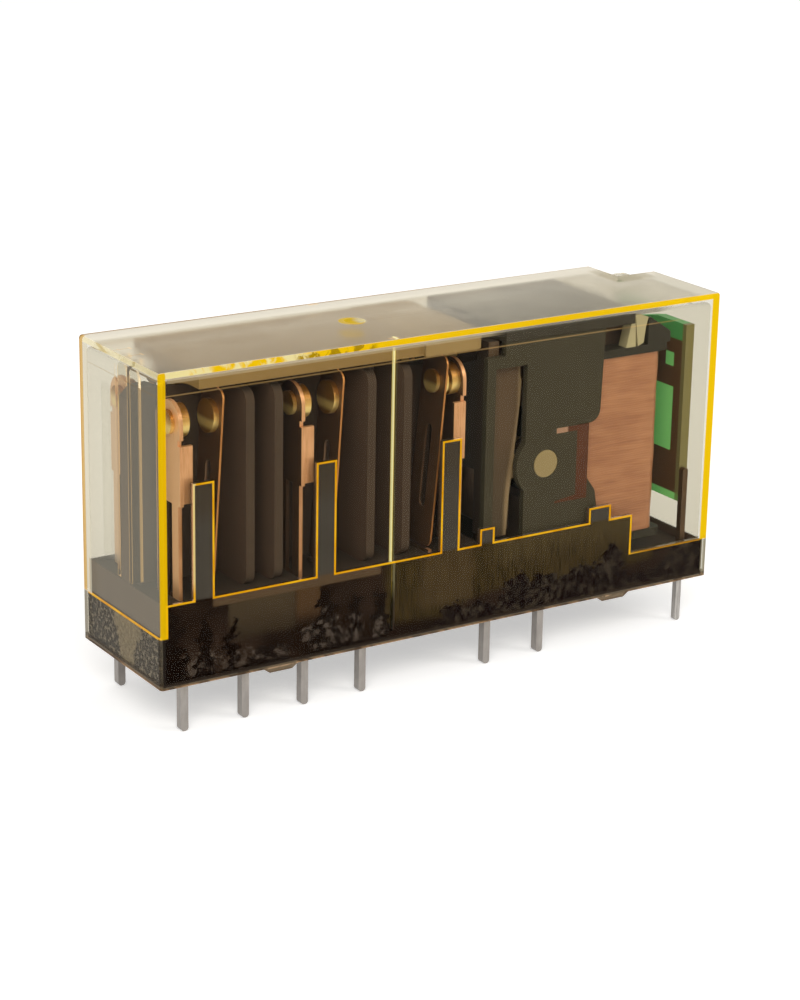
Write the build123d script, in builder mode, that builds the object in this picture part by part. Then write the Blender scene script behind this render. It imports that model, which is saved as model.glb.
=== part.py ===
from build123d import *
import os
from math import cos, degrees, radians, sin

os.makedirs("parts", exist_ok=True)

# Slim circuit-board power relay with three contact pairs on each long side. Millimetres.
# X runs along the length with the coil at +X, the front is at -Y, and Z = 0 is the board it
# stands on, in the middle of the cover. Stations are read from the outer face of the left end on
# a rule that stretches with the length of the relay, and heights from the lower rim of the cover.

# outside of the clear cover
length = 50.0
rule_length = 50.0
width = 12.6
cover_height = 23.7
foot_height = 0.35

# walls of the cover
end_wall = 0.6
end_wall_step = 0.3
side_wall = 0.55
top_wall = 0.8
rim_wall = 0.3
corner_round = 0.25
ceiling_round = 0.4

# the step inside the cover that the base fits into
fit_gap = 0.04
left_step = 3.9
right_step = 3.2
rail_step = 6.4
rail_end = 42.35
tall_tab_step = 15.2
low_tab_step = 7.6
tall_tab_starts = (2.84, 13.06, 24.08)
tall_tab_width = 1.72
low_tab_spans = ((27.72, 29.05), (38.08, 40.2))

# small features of the cover
foot_spans = ((8.5, 11.4), (39.0, 42.1))
foot_slope = 0.5
side_rib = 19.85
side_rib_width = 0.32
side_rib_depth = 0.25
side_rib_bottom = 0.8
end_rib_width = 0.4
end_rib_reach = 0.9
end_rib_bottom = 6.55
gate_radius = 0.8
gate_depth = 0.2
vent_length = 3.9
vent_width = 4.2
vent_depth = 1.0
vent_wall = 0.6
vent_nub_radius = 0.7
vent_nub_height = 0.45

# base moulding
rail_wall = 0.44
rim_recess = 0.1
resin_top = 0.8
floor_top = 6.2
floor_bottom = 4.6
bay_left = 28.2
bay_floor = 2.5
bay_slab = 0.9
centre_wall = 1.4
centre_wall_right = 26.3
centre_wall_drop = 1.4
wall_chamfer = 0.8
cross_wall = 0.7
cross_wall_starts = (7.7, 10.07, 18.0, 21.15)
cross_wall_inset = 1.3
cross_wall_round = 1.0
slot_clearance = 0.08

# pins and terminal strips
pin_inset = 1.22
pin_pitch = 5.08
first_pin = 2.35
coil_pin_station = 48.07
pin_width = 0.6
pin_depth = 0.7
pin_length = 3.55
tip_round_share = 0.45
coil_pin_width = 0.5
strip_thickness = 0.3
strip_width = 3.2
strip_front = 1.1
leg_width = 0.95
leg_top = 13.3
flange_reach = 0.75
flange_bottom = 13.5
flange_top = 17.8
notch_height = 0.45
notch_depth = 0.3
link_height = 0.5
upper_bar = 1.6
lower_bar = 0.9

# contact springs, their contacts and the throw that moves them
travel = 2.0
spring_thickness = 0.15
spring_roots = (4.85, 14.85, 23.6)
open_angle = 3.6
closed_angle = 5.0
hinge_height = 6.5
hinge_gap = 0.06
tip_width = 1.4
tip_length = 1.5
spring_window_width = 0.8
spring_window_bottom = 3.0
spring_window_length = 6.5
contact_radius = 1.25
contact_thickness = 0.55
fixed_contact_thickness = 0.85
contact_crown = 0.12
rivet_radius = 0.9
rivet_head = 0.3
shank_radius = 0.5
shank_gap = 0.02
touch_gap = 0.05
contact_below_tip = 3.0

# comb that pushes all springs
ceiling_gap = 0.15
comb_height = 0.97
comb_side_gap = 0.75
comb_left = 3.9
tip_entry = 0.55
slot_play = 0.3
guide_width = 1.0
guide_gap = 0.08
guide_height = 0.6
pad_length = 5.3
pad_step = 0.35
pad_round = 0.8
heel_length = 1.2
heel_drop = 1.5

# rocking armature
pivot_station = 34.0
pivot_height = 11.8
pivot_radius = 1.1
pivot_gap = 0.05
hub_radius = 1.9
nose_station = 28.16
nose_thickness = 1.5
nose_gap = 0.08
nose_top = 22.7
nose_round = 0.3
arm_bottom = 19.7
arm_top = 20.9
carrier_left = 30.0
spine_thickness = 1.0
spine_width = 3.2
ear_height = 1.9
panel_outline = (
    (28.8, 6.3),
    (28.8, 22.0),
    (29.7, 22.0),
    (29.7, 20.3),
    (31.75, 20.3),
    (31.75, 19.0),
    (31.9, 18.7),
    (31.8, 16.8),
    (31.55, 14.4),
    (31.3, 12.0),
    (31.05, 9.5),
    (30.85, 6.3),
)
plate_thickness = 1.2
plate_round = 0.3
plate_bottom = 6.0
plate_top = 19.5
plate_play = 0.05

# magnet system
pole_gap = 0.07
yoke_thickness = 1.3
iron_side_gap = 1.73
pole_thickness = 1.15
upper_pole_bottom = 16.0
lower_pole_top = 8.4
coil_left = 38.0
coil_length = 7.6
coil_play = 0.08
coil_round = 0.8
flange_thickness = 0.65
flange_overhang = 0.12
flange_tail = 0.6
flange_round = 0.6
core_length = 2.7
tube_wall = 0.7
core_play = 0.1
post_length = 2.2
post_width = 3.0
post_crest = 0.2
post_rise = 2.2
post_tail_rise = 0.85
upper_yoke_bottom = 19.9
prong_depth = 1.0
prong_outlines = (
    ((41.84, 0), (42.77, 0), (42.66, 1.9), (42.27, 1.95)),
    ((43.0, 0), (43.55, 0.25), (43.72, 1.6), (43.93, 2.25), (42.95, 2.75), (42.62, 2.75)),
)

# side cheeks that carry the pivot, and the bar across the top
cheek_left = 28.3
cheek_right = 39.3
cheek_right_lean = 0.24
cheek_thickness = 0.55
cheek_shoulder = 20.9
cheek_lower_edge = 14.53
cheek_waist = 37.0
cheek_foot_top = 9.1
cheek_toe_crest = 10.0
cheek_toe_bend = (38.85, 8.9)
cheek_foot_right = 39.1
cheek_toe_height = 7.4
cheek_round = 1.0
boss_radius = 2.75
window_left = 29.1
window_right = 32.0
window_bottom = 6.1
window_top = 20.0
brace_left = 35.2
brace_length = 1.4
brace_height = 2.0
lower_brace_bottom = 4.4
upper_brace_bottom = 16.6
bracket_right = 38.05
bracket_top = 14.5
bracket_bottom = 8.4
bracket_stem = 1.1
bracket_arm = 0.42
bracket_point = 0.15
bracket_reach = 3.1
bar_left = 29.95
bar_reach = 4.1
bar_height = 22.0
bar_thickness = 0.8

# upright circuit board beside the coil
board_thickness = 0.8
board_bottom = 6.3
board_top = 21.0
board_gap = 0.02
coil_pin_top = 9.2

# worked-out planes
rim = foot_height
left_end = -length / 2
right_end = length / 2
top = rim + cover_height
ceiling = top - top_wall
inner_front = width / 2 - side_wall
rail_outer = width / 2 - rim_wall - fit_gap
rail_inner = rail_outer - rail_wall
comb_top = ceiling - ceiling_gap
comb_bottom = comb_top - comb_height
hinge_z = rim + hinge_height
tip_z = comb_bottom + tip_entry
contact_z = tip_z - contact_below_tip
strip_centre = width / 2 - strip_front - strip_width / 2
pivot_z = rim + pivot_height
cheek_outer = rail_inner - fit_gap
cheek_inner = cheek_outer - cheek_thickness
pin_row = width / 2 - pin_inset
comb_half = inner_front - comb_side_gap
iron_half = cheek_inner - iron_side_gap
spring_swing = degrees(travel / (tip_z - hinge_z))
crown_sphere = (contact_radius**2 + contact_crown**2) / (2 * contact_crown)
rows = (("front", -1), ("back", 1))


def at(station):
    """Place along X of a station read on the stretching rule."""
    return (station / rule_length - 0.5) * length


pivot_x = at(pivot_station)
armature_swing = degrees(travel / (rim + nose_top - comb_height / 2 - pivot_z))
pin_stations = [first_pin + pin_pitch * n for n in (0, 1, 2, 3)]
pin_stations += [first_pin + pin_pitch * 5.25, first_pin + pin_pitch * 6.25]
tall_tab_spans = [(at(start), at(start) + tall_tab_width) for start in tall_tab_starts]


def block(x0, x1, y0, y1, z0, z1, mode=Mode.ADD):
    """A box between two corners, inside the block being built."""
    with BuildSketch(Plane.XY.offset(z0)) as plan:
        with Locations(((x0 + x1) / 2, (y0 + y1) / 2)):
            Rectangle(x1 - x0, y1 - y0)
    extrude(plan.sketch, amount=z1 - z0, mode=mode)


def save(piece, name):
    piece.part.label = name
    export_step(piece.part, f"parts/{name}.step")


def step_outline(clear):
    """The castellated face of the step, seen from the front, drawn in by a clearance."""
    spans = [(left_end + end_wall_step, right_end - end_wall_step, right_step)]
    spans += [(left_end + end_wall_step, left_end + 2 * end_wall, left_step)]
    spans += [(left_end + end_wall, at(rail_end), rail_step)]
    spans += [(left, right, tall_tab_step) for left, right in tall_tab_spans]
    spans += [(at(left), at(right), low_tab_step) for left, right in low_tab_spans]
    with BuildSketch(Plane.XZ) as outline:
        for left, right, height in spans:
            with Locations(((left + right) / 2, rim)):
                Rectangle(right - left - 2 * clear, height - clear, align=(Align.CENTER, Align.MIN))
    return outline.sketch


def plate_outline(points, depth=0):
    """A closed outline in the front view from stations and heights, at a depth along Y."""
    with BuildSketch(Plane.XZ) as outline:
        with BuildLine():
            Polyline(*[(at(station), rim + height) for station, height in points], close=True)
        make_face()
    return outline.sketch.moved(Location((0, depth, 0)))


# The cover: a five-sided clear box, its inside stepped where the base fits.
with BuildPart() as cavity:
    block(left_end + end_wall, right_end - end_wall, -inner_front, inner_front, rim, ceiling)
    fillet(cavity.faces().sort_by(Axis.Z)[-1].edges(), ceiling_round)

with BuildPart() as cover:
    block(left_end, right_end, -width / 2, width / 2, rim, top)
    fillet(cover.edges().filter_by(Axis.Z), corner_round)
    fillet(cover.faces().sort_by(Axis.Z)[-1].edges(), corner_round)
    add(cavity.part, mode=Mode.SUBTRACT)
    extrude(step_outline(0), amount=width / 2 - rim_wall, both=True, mode=Mode.SUBTRACT)
    # ribs: one down the front wall, two on the left end that hold the centre wall
    rib_left = at(side_rib) - side_rib_width / 2
    block(
        rib_left,
        rib_left + side_rib_width,
        rim_wall / 2 - width / 2,
        side_rib_depth - inner_front,
        rim + side_rib_bottom,
        ceiling,
    )
    for side in (-1, 1):
        rib_centre = side * (centre_wall / 2 + fit_gap + end_rib_width / 2)
        block(
            left_end + end_wall / 2,
            left_end + end_wall + end_rib_reach,
            rib_centre - end_rib_width / 2,
            rib_centre + end_rib_width / 2,
            rim + end_rib_bottom,
            ceiling,
        )
    # feet on the lower rim that stand on the board
    for left, right in foot_spans:
        for side in (-1, 1):
            with BuildSketch(Plane.XZ.offset(-side * (width / 2 - rim_wall / 2))):
                with BuildLine():
                    Polyline(
                        (at(left), rim),
                        (at(left) + foot_slope, 0),
                        (at(right) - foot_slope, 0),
                        (at(right), rim),
                        close=True,
                    )
                make_face()
            extrude(amount=rim_wall / 2, both=True)
    # round gate recess, and the lowered corner with its vent nub
    with BuildSketch(Plane.XY.offset(top)):
        with Locations((at(side_rib), 0)):
            Circle(gate_radius)
    extrude(amount=-gate_depth, mode=Mode.SUBTRACT)
    block(
        right_end - vent_length - vent_wall,
        right_end - end_wall,
        width / 2 - vent_width - vent_wall,
        inner_front,
        top - vent_depth - vent_wall,
        ceiling,
    )
    block(
        right_end - vent_length,
        right_end,
        width / 2 - vent_width,
        width / 2,
        top - vent_depth,
        top,
        Mode.SUBTRACT,
    )
    with BuildSketch(Plane.XY.offset(top - vent_depth)):
        with Locations((right_end - vent_length / 2, width / 2 - vent_width / 2)):
            Circle(vent_nub_radius)
    extrude(amount=vent_nub_height)
save(cover, "cover")


def strip_boxes(strip_x, pin_x, side, bar):
    """The boxes of one terminal inside the base: strip, cross bar and pin."""
    pin_y = side * pin_row
    near = side * (width / 2 - strip_front)
    far = side * (width / 2 - strip_front - strip_width)
    half = strip_thickness / 2
    left = min(strip_x - half, pin_x - pin_width / 2)
    right = max(strip_x + half, pin_x + pin_width / 2)
    low = rim + bar
    return (
        (strip_x - half, strip_x + half, min(near, far), max(near, far), low, hinge_z),
        (left, right, pin_y - pin_depth / 2, pin_y + pin_depth / 2, low, low + link_height),
        (
            pin_x - pin_width / 2,
            pin_x + pin_width / 2,
            pin_y - pin_depth / 2,
            pin_y + pin_depth / 2,
            -pin_length,
            low,
        ),
    )


def contact_places(pair):
    """Spring root, rest lean, side the contact faces and the fixed strip of one pair."""
    root = at(spring_roots[pair])
    opens = pair == 2
    lean = closed_angle if opens else open_angle
    faces = 1 if opens else -1
    shut = radians(lean if opens else lean - spring_swing)
    reach = (contact_z - hinge_z) * sin(shut)
    centre = crown_sphere - contact_thickness - spring_thickness / 2
    apex = root + reach - faces * centre * cos(shut) + faces * crown_sphere
    strip = apex + faces * (touch_gap + fixed_contact_thickness + strip_thickness / 2)
    return root, lean, faces, strip


terminals = []
for row, side in rows:
    for pair in range(3):
        root, lean, faces, strip = contact_places(pair)
        fixed_pin = at(pin_stations[2 * pair + (pair == 2)])
        spring_pin = at(pin_stations[2 * pair + (pair != 2)])
        fixed = strip_boxes(strip, fixed_pin, side, upper_bar)
        carrying = strip_boxes(root, spring_pin, side, lower_bar)
        terminals.append((row, side, pair, root, lean, faces, strip, fixed, carrying))

coil_pin_x = at(coil_pin_station)

# The base: rails that fill the step of the cover, a slotted floor, a deeper bay for the coil
# and the walls that part the contact chambers.
with BuildPart() as base:
    extrude(step_outline(fit_gap), amount=rail_outer, both=True)
    inner_left = left_end + end_wall + fit_gap + rail_wall
    inner_right = right_end - end_wall_step - fit_gap - rail_wall
    above = rim + tall_tab_step
    block(inner_left, at(bay_left), -rail_inner, rail_inner, rim + floor_top, above, Mode.SUBTRACT)
    block(at(bay_left), inner_right, -rail_inner, rail_inner, rim + bay_floor, above, Mode.SUBTRACT)
    block(inner_left, at(bay_left), -rail_inner, rail_inner, rim, rim + floor_bottom, Mode.SUBTRACT)
    slab_bottom = rim + bay_floor - bay_slab
    block(at(bay_left), inner_right, -rail_inner, rail_inner, rim, slab_bottom, Mode.SUBTRACT)
    block(left_end, right_end, -width / 2, width / 2, rim, rim + rim_recess, Mode.SUBTRACT)
    # groove for the rib of the cover
    block(
        at(side_rib) - side_rib_width / 2 - fit_gap,
        at(side_rib) + side_rib_width / 2 + fit_gap,
        -width / 2,
        side_rib_depth + fit_gap - inner_front,
        rim + side_rib_bottom - fit_gap,
        above,
        Mode.SUBTRACT,
    )
    # wall along the middle, stepped down where the armature's nose passes
    wall_left = left_end + end_wall + 2 * fit_gap
    wall_top = comb_bottom - guide_height
    with BuildSketch(Plane.XZ):
        with BuildLine():
            Polyline(
                (wall_left, rim + floor_bottom),
                (wall_left, wall_top - wall_chamfer),
                (wall_left + wall_chamfer, wall_top),
                (at(spring_roots[2]), wall_top),
                (at(spring_roots[2]), wall_top - centre_wall_drop),
                (at(centre_wall_right), wall_top - centre_wall_drop),
                (at(centre_wall_right), rim + floor_bottom),
                close=True,
            )
        make_face()
    extrude(amount=centre_wall / 2, both=True)
    # cross walls with rounded shoulders
    for station in cross_wall_starts:
        wall_edge = width / 2 - cross_wall_inset
        with BuildSketch(Plane.YZ.offset(at(station))) as shoulder:
            with Locations((0, rim + floor_top)):
                Rectangle(2 * wall_edge, wall_top - rim - floor_top, align=(Align.CENTER, Align.MIN))
            fillet(shoulder.vertices().group_by(Axis.Z)[-1], cross_wall_round)
        extrude(amount=cross_wall)
    # slots for the strips, bars and pins
    for row, side, pair, root, lean, faces, strip, fixed, carrying in terminals:
        for x0, x1, y0, y1, z0, z1 in fixed + carrying:
            block(
                x0 - slot_clearance,
                x1 + slot_clearance,
                y0 - slot_clearance,
                y1 + slot_clearance,
                rim,
                z1 + slot_clearance,
                Mode.SUBTRACT,
            )
    for row, side in rows:
        block(
            coil_pin_x - coil_pin_width / 2 - slot_clearance,
            coil_pin_x + coil_pin_width / 2 + slot_clearance,
            side * pin_row - coil_pin_width / 2 - slot_clearance,
            side * pin_row + coil_pin_width / 2 + slot_clearance,
            rim,
            rim + bay_floor,
            Mode.SUBTRACT,
        )
save(base, "base")

# Potting resin that closes the underside between the rails.
with BuildPart() as sealing_resin:
    block(inner_left, inner_right, -rail_inner, rail_inner, rim + rim_recess, rim + resin_top)
    for row, side, pair, root, lean, faces, strip, fixed, carrying in terminals:
        for x0, x1, y0, y1, z0, z1 in (fixed[2], carrying[2]):
            block(x0, x1, y0, y1, rim, rim + resin_top, Mode.SUBTRACT)
    for row, side in rows:
        block(
            coil_pin_x - coil_pin_width / 2,
            coil_pin_x + coil_pin_width / 2,
            side * pin_row - coil_pin_width / 2,
            side * pin_row + coil_pin_width / 2,
            rim,
            rim + resin_top,
            Mode.SUBTRACT,
        )
save(sealing_resin, "sealing_resin")


def blade(x0, x1, y0, y1, z0, z1):
    """A pin with rounded lower corners."""
    with BuildSketch(Plane.XZ.offset(-(y0 + y1) / 2)) as outline:
        with Locations(((x0 + x1) / 2, z0)):
            Rectangle(x1 - x0, z1 - z0, align=(Align.CENTER, Align.MIN))
        fillet(outline.vertices().group_by(Axis.Z)[0], tip_round_share * (x1 - x0))
    extrude(outline.sketch, amount=(y1 - y0) / 2, both=True)


def button(centre, direction, head, strip_hold):
    """A contact rivet: crowned head, shank through the strip it holds and flat rear head."""
    rise = contact_crown
    back = -strip_hold - rivet_head
    with BuildSketch(Plane(origin=centre, x_dir=direction, z_dir=(0, 1, 0))) as half:
        with BuildLine():
            Polyline(
                (head, 0),
                (back, 0),
                (back, rivet_radius),
                (-strip_hold, rivet_radius),
                (-strip_hold, shank_radius),
                (0, shank_radius),
                (0, contact_radius),
                (head - rise, contact_radius),
            )
            RadiusArc((head - rise, contact_radius), (head, 0), crown_sphere)
        make_face()
    revolve(half.sketch, axis=Axis(centre, direction))


# Terminals, springs and contacts, pair by pair on each side.
for row, side, pair, root, lean, faces, strip, fixed, carrying in terminals:
    number = pair + 1
    row_y = side * strip_centre
    edge = side * (width / 2 - strip_front)
    with BuildPart() as fixed_terminal:
        with BuildSketch(Plane.YZ.offset(strip)):
            with Locations((row_y, contact_z)):
                Circle(strip_width / 2)
            with Locations((row_y, (contact_z + rim + leg_top) / 2)):
                Rectangle(strip_width, contact_z - rim - leg_top)
            for inset, foot in ((notch_depth, upper_bar), (strip_width - leg_width, floor_bottom)):
                with Locations((edge - side * (inset + leg_width / 2), rim + foot)):
                    Rectangle(leg_width, leg_top - foot + notch_height, align=(Align.CENTER, Align.MIN))
            with Locations((edge, rim + flange_top + notch_height / 2)):
                Rectangle(2 * notch_depth, notch_height, mode=Mode.SUBTRACT)
            with Locations((row_y, contact_z)):
                Circle(shank_radius + shank_gap, mode=Mode.SUBTRACT)
        extrude(amount=strip_thickness / 2, both=True)
        block(
            *sorted((strip, strip - faces * (strip_thickness / 2 + flange_reach))),
            *sorted((edge, edge - side * strip_thickness)),
            rim + flange_bottom,
            rim + flange_top,
        )
        block(*fixed[1])
        blade(*fixed[2])
    save(fixed_terminal, f"fixed_terminal_{row}_{number}")

    with BuildPart() as fixed_contact:
        seat = (strip - faces * strip_thickness / 2, row_y, contact_z)
        button(seat, (-faces, 0, 0), fixed_contact_thickness, strip_thickness)
    save(fixed_contact, f"fixed_contact_{row}_{number}")

    with BuildPart() as spring_terminal:
        x0, x1, y0, y1, z0, z1 = carrying[0]
        block(x0, x1, y0, y1, z0, hinge_z - hinge_gap)
        block(*carrying[1])
        blade(*carrying[2])
    save(spring_terminal, f"spring_terminal_{row}_{number}")

    tilt = radians(lean)
    leaf = Plane(
        origin=(root, row_y, hinge_z),
        x_dir=(0, 1, 0),
        z_dir=(cos(tilt), 0, -sin(tilt)),
    )
    blade_length = tip_z - hinge_z
    contact_at = contact_z - hinge_z
    shoulder = blade_length - tip_entry - slot_play
    with BuildPart() as contact_spring:
        with BuildSketch(leaf) as flat:
            with Locations((0, (shoulder + hinge_gap) / 2)):
                Rectangle(strip_width, shoulder - hinge_gap)
            fillet(flat.vertices().group_by(Axis.Z)[-1], tip_width / 2)
            with Locations((0, blade_length - tip_length / 2)):
                Rectangle(tip_width, tip_length)
            with Locations((0, spring_window_bottom + spring_window_length / 2)):
                SlotOverall(
                    spring_window_length,
                    spring_window_width,
                    rotation=90,
                    mode=Mode.SUBTRACT,
                )
            with Locations((0, contact_at)):
                Circle(shank_radius + shank_gap, mode=Mode.SUBTRACT)
        extrude(amount=spring_thickness / 2, both=True)
    save(contact_spring, f"contact_spring_{row}_{number}")

    seat = leaf.origin + leaf.y_dir * contact_at + leaf.z_dir * (faces * spring_thickness / 2)
    with BuildPart() as moving_contact:
        button(tuple(seat), tuple(leaf.z_dir * faces), contact_thickness, spring_thickness)
    save(moving_contact, f"moving_contact_{row}_{number}")

# The comb: one bar over both rows with a slot for each spring tip, sliding on the centre wall.
comb_right = at(nose_station) - nose_gap
nose_half = spine_width / 2
with BuildPart() as actuator_comb:
    block(at(comb_left), comb_right, -comb_half, comb_half, comb_bottom, comb_top)
    pad_half = comb_half + pad_step
    block(comb_right - pad_length, comb_right, -pad_half, pad_half, comb_bottom, comb_top)
    fillet(actuator_comb.edges().filter_by(Axis.Z).group_by(Axis.X)[-1], pad_round)
    block(
        at(comb_left) + pad_step,
        at(spring_roots[2]) - travel,
        -guide_width / 2,
        guide_width / 2,
        comb_bottom - guide_height + guide_gap,
        comb_bottom,
    )
    # heel in the middle that the nose of the armature pushes
    block(comb_right - heel_length, comb_right, -nose_half, nose_half, comb_bottom - heel_drop, comb_bottom)
    for row, side, pair, root, lean, faces, strip, fixed, carrying in terminals:
        entry = root + (comb_bottom + tip_entry / 2 - hinge_z) * sin(radians(lean))
        half_slot = spring_thickness / 2 + slot_play
        row_y = side * strip_centre
        tongue = tip_width / 2 + slot_play
        block(
            entry - half_slot,
            entry + half_slot,
            row_y - tongue,
            row_y + tongue,
            comb_bottom,
            tip_z + slot_play,
            Mode.SUBTRACT,
        )
save(actuator_comb, "actuator_comb")

# The rocking armature: a moulded carrier with two side panels on hubs, a spine and the nose
# that pushes the comb, the iron plate it holds, and the pin it turns on.
spine_left = at(carrier_left)
spine_right = spine_left + spine_thickness
ear_inner = iron_half + plate_play
ear_outer = cheek_inner - coil_play
with BuildPart() as rocker:
    for side in (-1, 1):
        with BuildSketch(Plane.XZ.offset(-side * (ear_inner + ear_outer) / 2)):
            with Locations((pivot_x, pivot_z)):
                Circle(hub_radius)
            with Locations(((spine_left + pivot_x) / 2, pivot_z)):
                Rectangle(pivot_x - spine_left, ear_height)
            with Locations((pivot_x, pivot_z)):
                Circle(pivot_radius + shank_gap, mode=Mode.SUBTRACT)
        extrude(amount=(ear_outer - ear_inner) / 2, both=True)
        panel = plate_outline(panel_outline, side * (ear_inner + ear_outer) / 2)
        extrude(panel, amount=(ear_outer - ear_inner) / 2, both=True)
    ear_low = pivot_z - ear_height / 2
    block(spine_left, spine_right, -ear_outer, ear_outer, ear_low, ear_low + ear_height)
    block(spine_left, spine_right, -nose_half, nose_half, ear_low, rim + arm_top)
    nose_left = at(nose_station)
    block(nose_left, spine_right, -nose_half, nose_half, rim + arm_bottom, rim + arm_top)
    block(
        nose_left,
        nose_left + nose_thickness,
        -nose_half,
        nose_half,
        rim + arm_bottom,
        rim + nose_top,
    )
    crest = rocker.edges().filter_by(Axis.Y).group_by(Axis.Z)[-1]
    fillet(crest, nose_round)
save(rocker, "rocker")

plate_right = spine_right + plate_thickness
with BuildPart() as armature_plate:
    block(spine_right, plate_right, -iron_half, iron_half, rim + plate_bottom, rim + plate_top)
    fillet(armature_plate.edges().filter_by(Axis.Y), plate_round)
save(armature_plate, "armature_plate")

with BuildPart() as pivot_pin:
    with BuildSketch(Plane.XZ):
        with Locations((pivot_x, pivot_z)):
            Circle(pivot_radius)
    extrude(amount=cheek_outer, both=True)
save(pivot_pin, "pivot_pin")

# Magnet iron: lower yoke with its pole, core, upper yoke with its pole.
bar_bottom = rim + bar_height
yoke_bottom = rim + upper_yoke_bottom
lower_yoke_top = rim + bay_floor + yoke_thickness
core_centre = at(coil_left) + coil_length / 2
core_right = core_centre + core_length / 2
swing = radians(armature_swing)
low_corner = (plate_right - pivot_x) * cos(swing) + (pivot_height - plate_bottom) * sin(swing)
lower_pole_left = pivot_x + low_corner + pole_gap
upper_pole_left = plate_right + pole_gap
with BuildPart() as upper_yoke:
    block(upper_pole_left, core_right, -iron_half, iron_half, yoke_bottom, bar_bottom)
    pole_right = upper_pole_left + pole_thickness
    block(upper_pole_left, pole_right, -iron_half, iron_half, rim + upper_pole_bottom, bar_bottom)
save(upper_yoke, "upper_yoke")

with BuildPart() as lower_yoke:
    block(lower_pole_left, core_right, -iron_half, iron_half, rim + bay_floor, lower_yoke_top)
    pole_right = lower_pole_left + pole_thickness
    block(lower_pole_left, pole_right, -iron_half, iron_half, rim + bay_floor, rim + lower_pole_top)
save(lower_yoke, "lower_yoke")

with BuildPart() as core:
    block(core_right - core_length, core_right, -iron_half, iron_half, lower_yoke_top, yoke_bottom)
save(core, "core")

# Coil: a bobbin with a rectangular tube and two flanges, wound with wire.
flange_half = cheek_inner - coil_play
winding_half = flange_half - flange_overhang
winding_bottom = lower_yoke_top + flange_thickness
winding_top = yoke_bottom - flange_thickness
tube_half_x = core_length / 2 + core_play + tube_wall
tube_half_y = iron_half + core_play + tube_wall
with BuildPart() as coil_bobbin:
    flange_left = at(coil_left) - flange_overhang
    flange_right = at(coil_left) + coil_length + flange_tail
    for low in (lower_yoke_top, winding_top):
        block(flange_left, flange_right, -flange_half, flange_half, low, low + flange_thickness)
    fillet(coil_bobbin.edges().filter_by(Axis.Z), flange_round)
    block(
        core_centre - tube_half_x,
        core_centre + tube_half_x,
        -tube_half_y,
        tube_half_y,
        lower_yoke_top,
        yoke_bottom,
    )
    # terminal posts on the upper flange, sloped down to the end
    post_left = flange_right - post_length
    for side in (-1, 1):
        with BuildSketch(Plane.XZ.offset(-side * (flange_half - post_width / 2))):
            with BuildLine():
                Polyline(
                    (post_left, yoke_bottom),
                    (flange_right, yoke_bottom),
                    (flange_right, yoke_bottom + post_tail_rise),
                    (post_left + post_crest, yoke_bottom + post_rise),
                    (post_left, yoke_bottom + post_rise),
                    close=True,
                )
            make_face()
        extrude(amount=post_width / 2, both=True)
    block(
        core_right - core_length - core_play,
        core_right + core_play,
        -iron_half - core_play,
        iron_half + core_play,
        lower_yoke_top,
        yoke_bottom,
        Mode.SUBTRACT,
    )
save(coil_bobbin, "coil_bobbin")

with BuildPart() as coil_winding:
    with BuildSketch(Plane.XY.offset(winding_bottom)):
        with Locations((core_centre, 0)):
            RectangleRounded(coil_length, 2 * winding_half, coil_round)
            Rectangle(2 * tube_half_x, 2 * tube_half_y, mode=Mode.SUBTRACT)
    extrude(amount=winding_top - winding_bottom)
save(coil_winding, "coil_winding")

# Ivory prongs that stand on the upper flange in front of the posts.
for row, side in rows:
    for number, points in enumerate(prong_outlines, 1):
        standing = [(station, upper_yoke_bottom + height) for station, height in points]
        with BuildPart() as prong:
            placed = plate_outline(standing, side * (flange_half - prong_depth / 2))
            extrude(placed, amount=prong_depth / 2, both=True)
        save(prong, f"clamp_prong_{row}_{number}")

# Side brackets that clip into the cheeks beside the pivot.
bracket_points = (
    (bracket_right, bracket_bottom),
    (bracket_right, bracket_top),
    (bracket_right - bracket_reach, bracket_top),
    (bracket_right - bracket_reach, bracket_top - bracket_arm),
    (bracket_right - bracket_stem, bracket_top - bracket_arm),
    (bracket_right - bracket_stem, bracket_bottom + bracket_arm),
    (bracket_right - bracket_reach, bracket_bottom + bracket_point),
    (bracket_right - bracket_reach, bracket_bottom),
)
cheek_middle = (cheek_outer + cheek_inner) / 2
for row, side in rows:
    with BuildPart() as side_bracket:
        placed = plate_outline(bracket_points, side * cheek_middle)
        extrude(placed, amount=cheek_thickness / 2, both=True)
    save(side_bracket, f"side_bracket_{row}")

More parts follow.
